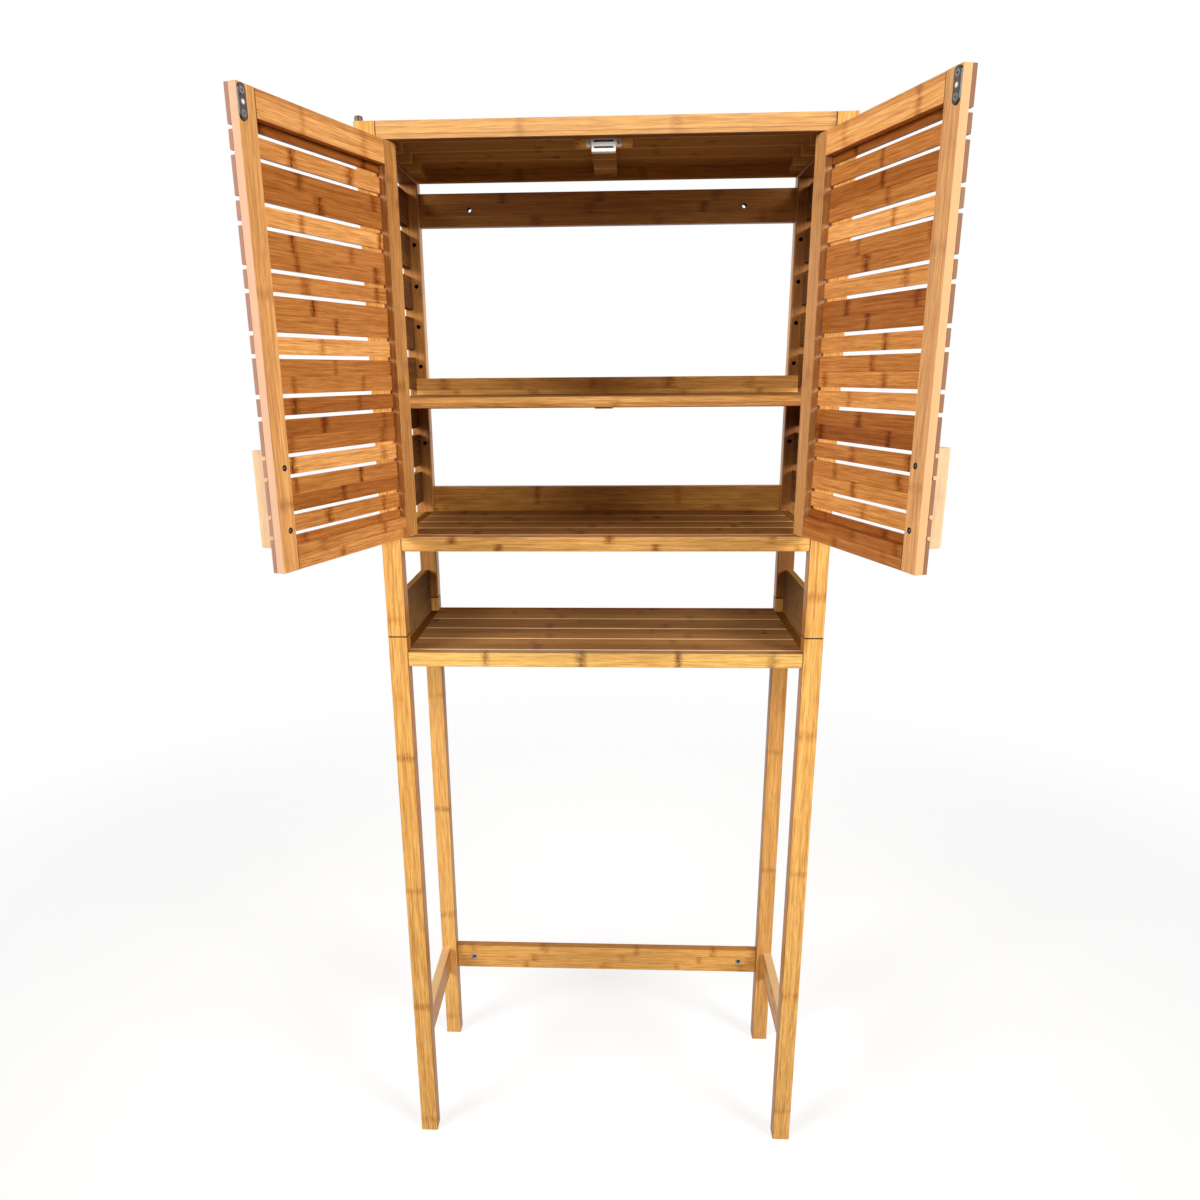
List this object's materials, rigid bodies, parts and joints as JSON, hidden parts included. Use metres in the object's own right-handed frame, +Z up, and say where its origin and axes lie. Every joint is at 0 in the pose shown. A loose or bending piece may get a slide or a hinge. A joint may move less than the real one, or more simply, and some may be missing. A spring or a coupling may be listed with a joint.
{
  "type": "louvred door cabinet",
  "caption": "Tall free-standing bamboo cabinet on long legs for over a toilet: slatted doors and sides, a loose shelf on pins, a slatted top and an open shelf below.",
  "frame": {"origin": "on the floor, midway between the front legs, in the plane of their front faces; with the doors open as stored this is within 10 mm of the middle of the footprint", "axes": "+X to the right seen from the front, +Y from the front to the back, +Z up"},
  "size_m": [0.8094, 0.5447, 1.647],
  "materials": {
    "bamboo_light": "satin varnished bamboo, light honey",
    "bamboo_dark": "satin varnished bamboo, darker honey",
    "bamboo_inner": "satin varnished bamboo",
    "steel": "dull plated steel",
    "white_plastic": "glossy white plastic",
    "nylon": "natural nylon",
    "brown_plastic": "dark brown plastic"
  },
  "bodies": {
    "cabinet": {"back_stretcher": "bamboo_light", "catch_block": "bamboo_inner", "catch_housing": "white_plastic", "catch_pole_plates": "steel", "catch_screws": "steel", "door_pivot_pins": "steel", "door_pivot_washers": "nylon", "floor_back_rail": "bamboo_light", "floor_cleats": "bamboo_inner", "floor_front_rail": "bamboo_light", "floor_side_rails": "bamboo_light", "floor_slats": "bamboo_inner", "front_leg_left": "bamboo_light", "front_leg_right": "bamboo_light", "front_post_left": "bamboo_light", "front_post_right": "bamboo_light", "guard_boards": "bamboo_light", "leg_joint_dowels": "bamboo_light", "leg_side_rails": "bamboo_light", "lower_shelf_cleats": "bamboo_inner", "lower_shelf_front_rail": "bamboo_light", "lower_shelf_rear_rail": "bamboo_light", "lower_shelf_slats": "bamboo_inner", "post_plug": "brown_plastic", "rear_leg_left": "bamboo_light", "rear_leg_right": "bamboo_light", "rear_post_left": "bamboo_light", "rear_post_right": "bamboo_light", "shelf_pins": "steel", "side_slats_left": "bamboo_inner", "side_slats_right": "bamboo_inner", "side_stretchers": "bamboo_light", "stretcher_bolts": "steel", "stretcher_nuts": "steel", "top_cleats": "bamboo_inner", "top_front_rail": "bamboo_light", "top_rear_rail": "bamboo_light", "top_side_rails": "bamboo_light", "top_slats": "bamboo_inner", "upper_back_rail": "bamboo_light"},
    "shelf": {"shelf_back_lip": "bamboo_inner", "shelf_front_edge": "bamboo_inner", "shelf_ribs": "bamboo_inner", "shelf_slats": "bamboo_inner"},
    "left_door": {"left_door_free_stile": "bamboo_light", "left_door_handle": "bamboo_light", "left_door_handle_screws": "steel", "left_door_hinge_stile": "bamboo_light", "left_door_narrow_slats": "bamboo_light", "left_door_rails": "bamboo_light", "left_door_strike": "steel", "left_door_wide_slats": "bamboo_dark"},
    "right_door": {"right_door_free_stile": "bamboo_light", "right_door_handle": "bamboo_light", "right_door_handle_screws": "steel", "right_door_hinge_stile": "bamboo_light", "right_door_narrow_slats": "bamboo_light", "right_door_rails": "bamboo_light", "right_door_strike": "steel", "right_door_wide_slats": "bamboo_dark"}
  },
  "joints": [
    {"name": "left_door_hinge", "type": "hinge", "parent": "cabinet", "child": "left_door", "pos_m": [-0.2892, 0.009, 1.35225], "axis": [0, 0, -1], "range_deg": [-110, 2]},
    {"name": "right_door_hinge", "type": "hinge", "parent": "cabinet", "child": "right_door", "pos_m": [0.2892, 0.009, 1.35225], "axis": [0, 0, 1], "range_deg": [-107, 5]},
    {"name": "shelf_slide", "type": "slide", "parent": "cabinet", "child": "shelf", "axis": [0, 0, 1], "range_m": [0, 0.252]}
  ]
}
